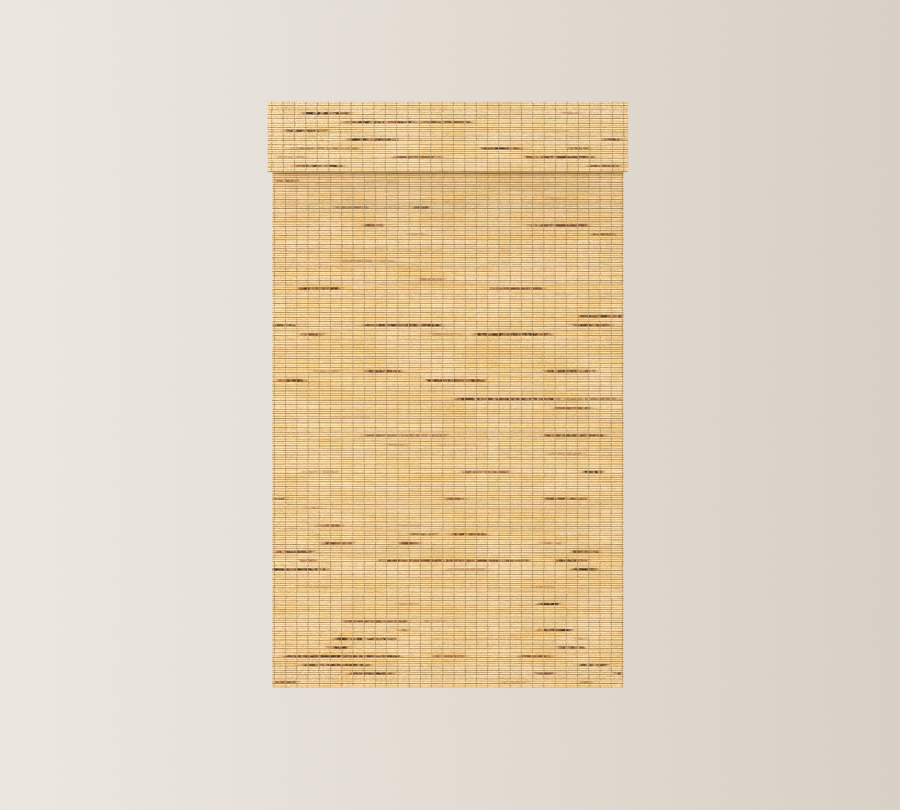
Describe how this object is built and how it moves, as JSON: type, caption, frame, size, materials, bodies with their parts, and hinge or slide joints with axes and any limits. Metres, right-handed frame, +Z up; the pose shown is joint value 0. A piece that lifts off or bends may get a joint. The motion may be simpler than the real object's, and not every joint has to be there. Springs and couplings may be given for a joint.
{
  "type": "roller blind",
  "caption": "Cordless spring roller blind of woven wood slats, with a flat valance, a headrail board, end brackets and a weighted hem.",
  "frame": {"origin": "centre of the headrail's top face, which is screwed under the window head", "axes": "+Z up, -Y towards the room (the valance's face), X along the width with the spring end at +X"},
  "size_m": [0.8076, 0.0879, 1.319],
  "materials": {
    "woven_wood": "split reeds and slats held by warp threads, matt",
    "pine": "planed softwood",
    "white_plastic": "moulded, matt",
    "fastening_tape": "hook and loop tape",
    "zinc_steel": "zinc plated",
    "bright_steel": "bright drawn",
    "spring_steel": "dark oiled wire",
    "grey_plastic": "moulded, matt",
    "brass": "turned"
  },
  "bodies": {
    "headrail": {"headrail_board": "pine", "idle_bracket": "zinc_steel", "spear_bracket": "zinc_steel", "bracket_bush": "white_plastic", "bracket_screw_left_front": "zinc_steel", "bracket_screw_left_back": "zinc_steel", "bracket_screw_right_front": "zinc_steel", "bracket_screw_right_back": "zinc_steel", "valance": "woven_wood", "valance_batten": "pine", "loop_tape": "fastening_tape", "hook_tape": "fastening_tape", "spear_shaft": "bright_steel", "ratchet_wheel": "bright_steel", "spring_collar": "grey_plastic", "collar_pin": "bright_steel", "lift_spring": "spring_steel", "fabric_lead": "woven_wood", "fabric_drop": "woven_wood"},
    "roller": {"roller_tube": "zinc_steel", "fabric_spline": "white_plastic", "fabric_wraps": "woven_wood", "spring_end_plug": "grey_plastic", "plug_cover": "zinc_steel", "shaft_bush": "brass", "spring_drive_plug": "grey_plastic", "idle_end_plug": "grey_plastic", "idle_plug_cap": "zinc_steel", "pawl_pin_top": "bright_steel", "pawl_pin_bottom": "bright_steel", "cap_rivet_top": "bright_steel", "cap_rivet_bottom": "bright_steel"},
    "pawl_a": {"pawl_top": "bright_steel"},
    "pawl_b": {"pawl_bottom": "bright_steel"},
    "end_pin": {"idle_pin": "bright_steel", "pin_spring": "spring_steel"},
    "hem": {"hem_fold": "woven_wood", "weight_bar": "zinc_steel", "bar_cap_left": "grey_plastic", "bar_cap_right": "grey_plastic"}
  },
  "joints": [
    {"name": "lift", "type": "slide", "parent": "headrail", "child": "hem", "axis": [0, 0, 1], "range_m": [0, 1.1385], "deforming": ["fabric_drop"]},
    {"name": "roller_spin", "type": "hinge", "parent": "headrail", "child": "roller", "pos_m": [0, -0.0049, -0.0602], "axis": [1, 0, 0], "range_deg": [0, 2160]},
    {"name": "pawl_a_swing", "type": "hinge", "parent": "roller", "child": "pawl_a", "pos_m": [0.394, -0.0049, -0.0474], "axis": [1, 0, 0], "range_deg": [0, 18]},
    {"name": "pawl_b_swing", "type": "hinge", "parent": "roller", "child": "pawl_b", "pos_m": [0.394, -0.0049, -0.073], "axis": [1, 0, 0], "range_deg": [0, 18]},
    {"name": "end_pin_slide", "type": "slide", "parent": "roller", "child": "end_pin", "axis": [1, 0, 0], "range_m": [0, 0.0045], "stiffness_N_per_m": 400, "springref_m": -0.004, "deforming": ["pin_spring"]}
  ],
  "couplings": [
    {"joint": "roller_spin", "follows": "lift", "rad_per_m": 33.112}
  ]
}
